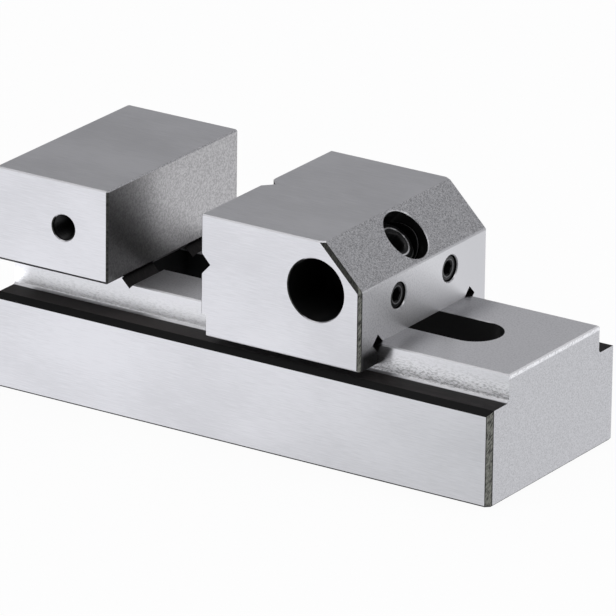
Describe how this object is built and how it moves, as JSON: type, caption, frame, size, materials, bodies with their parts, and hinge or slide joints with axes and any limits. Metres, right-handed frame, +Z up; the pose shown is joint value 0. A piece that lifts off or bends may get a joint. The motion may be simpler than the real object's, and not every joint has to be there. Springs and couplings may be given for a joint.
{
  "type": "precision vise",
  "caption": "Small ground toolmaker's vise: a sliding jaw on a slotted rail is pulled down and in by a slanted socket screw that grips a pin in notches under the rail.",
  "frame": {"origin": "middle of the base's ground bottom face", "axes": "+X from the fixed jaw along the rail to the open end, +Y towards the far side, +Z up"},
  "size_m": [0.088, 0.035, 0.0353],
  "materials": {
    "ground_steel": "surface ground hardened tool steel, fine straight grain",
    "dark_steel": "turned and hardened steel, dark and slightly oiled",
    "black_oxide": "black oxide on socket screws"
  },
  "bodies": {
    "vise_body": {"vise_body": "ground_steel"},
    "sliding_jaw": {"sliding_jaw": "ground_steel", "set_screw_front": "black_oxide", "set_screw_back": "black_oxide"},
    "trunnion": {"trunnion": "dark_steel"},
    "clamp_screw": {"clamp_screw": "black_oxide"},
    "anchor_pin": {"anchor_pin": "dark_steel"}
  },
  "joints": [
    {"name": "jaw_slide", "type": "slide", "parent": "vise_body", "child": "sliding_jaw", "axis": [1, 0, 0], "range_m": [-0.0168, 0.0252]},
    {"name": "trunnion_tilt", "type": "hinge", "parent": "sliding_jaw", "child": "trunnion", "pos_m": [0.01335, 0, 0.02755], "axis": [0, 1, 0], "range_deg": [-1.43, 4.07]},
    {"name": "screw_turn", "type": "hinge", "parent": "trunnion", "child": "clamp_screw", "pos_m": [0.01335, 0, 0.02755], "axis": [-0.6554, 0, -0.7553], "range_deg": [-360.5, 1035.5]},
    {"name": "pin_draw", "type": "slide", "parent": "trunnion", "child": "anchor_pin", "axis": [0.6554, 0, 0.7553], "range_m": [-0.0007, 0.00201]}
  ],
  "couplings": [
    {"joint": "trunnion_tilt", "follows": "pin_draw", "rad_per_m": 35.1},
    {"joint": "screw_turn", "follows": "pin_draw", "rad_per_m": 8976}
  ]
}
